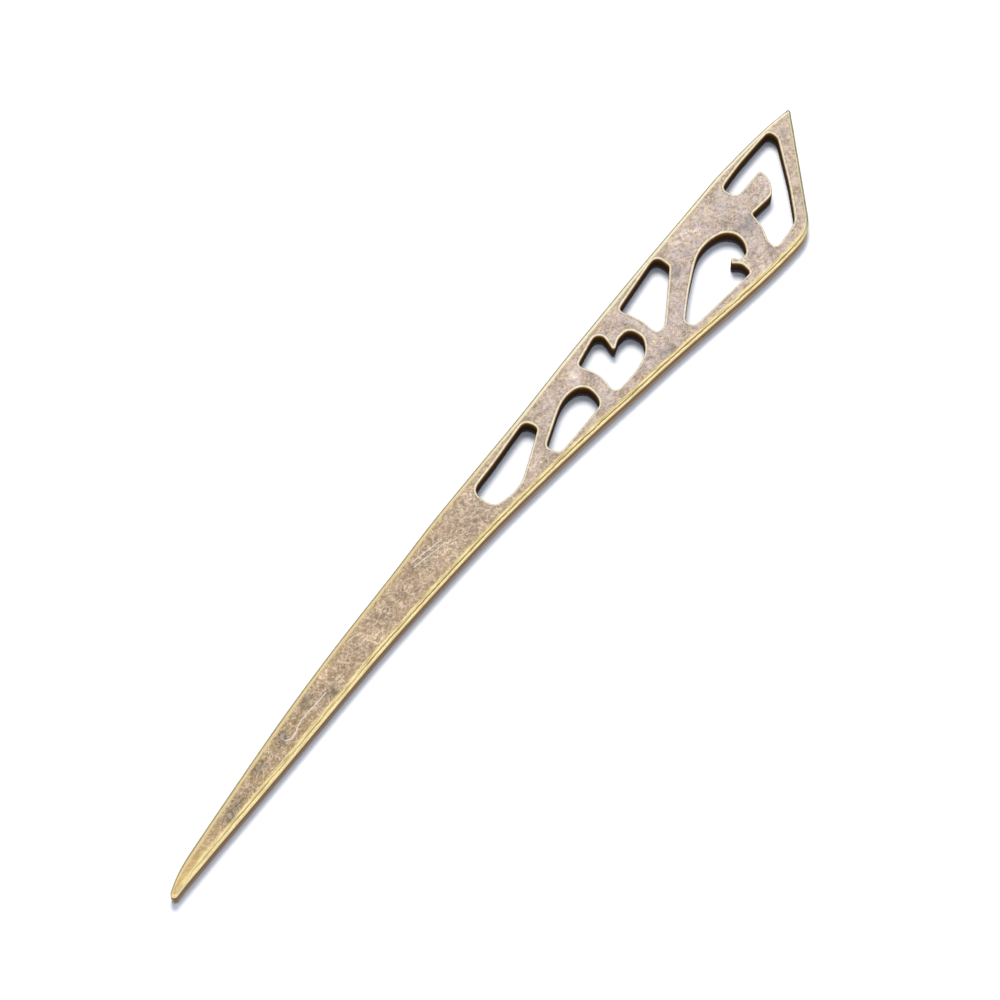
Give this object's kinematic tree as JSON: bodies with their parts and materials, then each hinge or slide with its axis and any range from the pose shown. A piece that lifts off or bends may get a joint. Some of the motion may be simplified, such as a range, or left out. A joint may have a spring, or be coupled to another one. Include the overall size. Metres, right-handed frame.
{
  "type": "hair stick",
  "caption": "Flat cast hair stick: a slim blunt shank flares to a slanted, rounded head pierced with flowing scroll openings between two narrow rails.",
  "frame": {"origin": "middle of the footprint, on the plain back face", "axes": "+X along the stick from the blunt tip to the head's point, +Y towards the straight side, +Z from the back to the bevelled front face"},
  "size_m": [0.13, 0.0154, 0.0022],
  "materials": {
    "antique_brass": "antiqued, satin face with brighter worn edges"
  },
  "bodies": {
    "root": {"hair_stick": "antique_brass"}
  },
  "joints": []
}
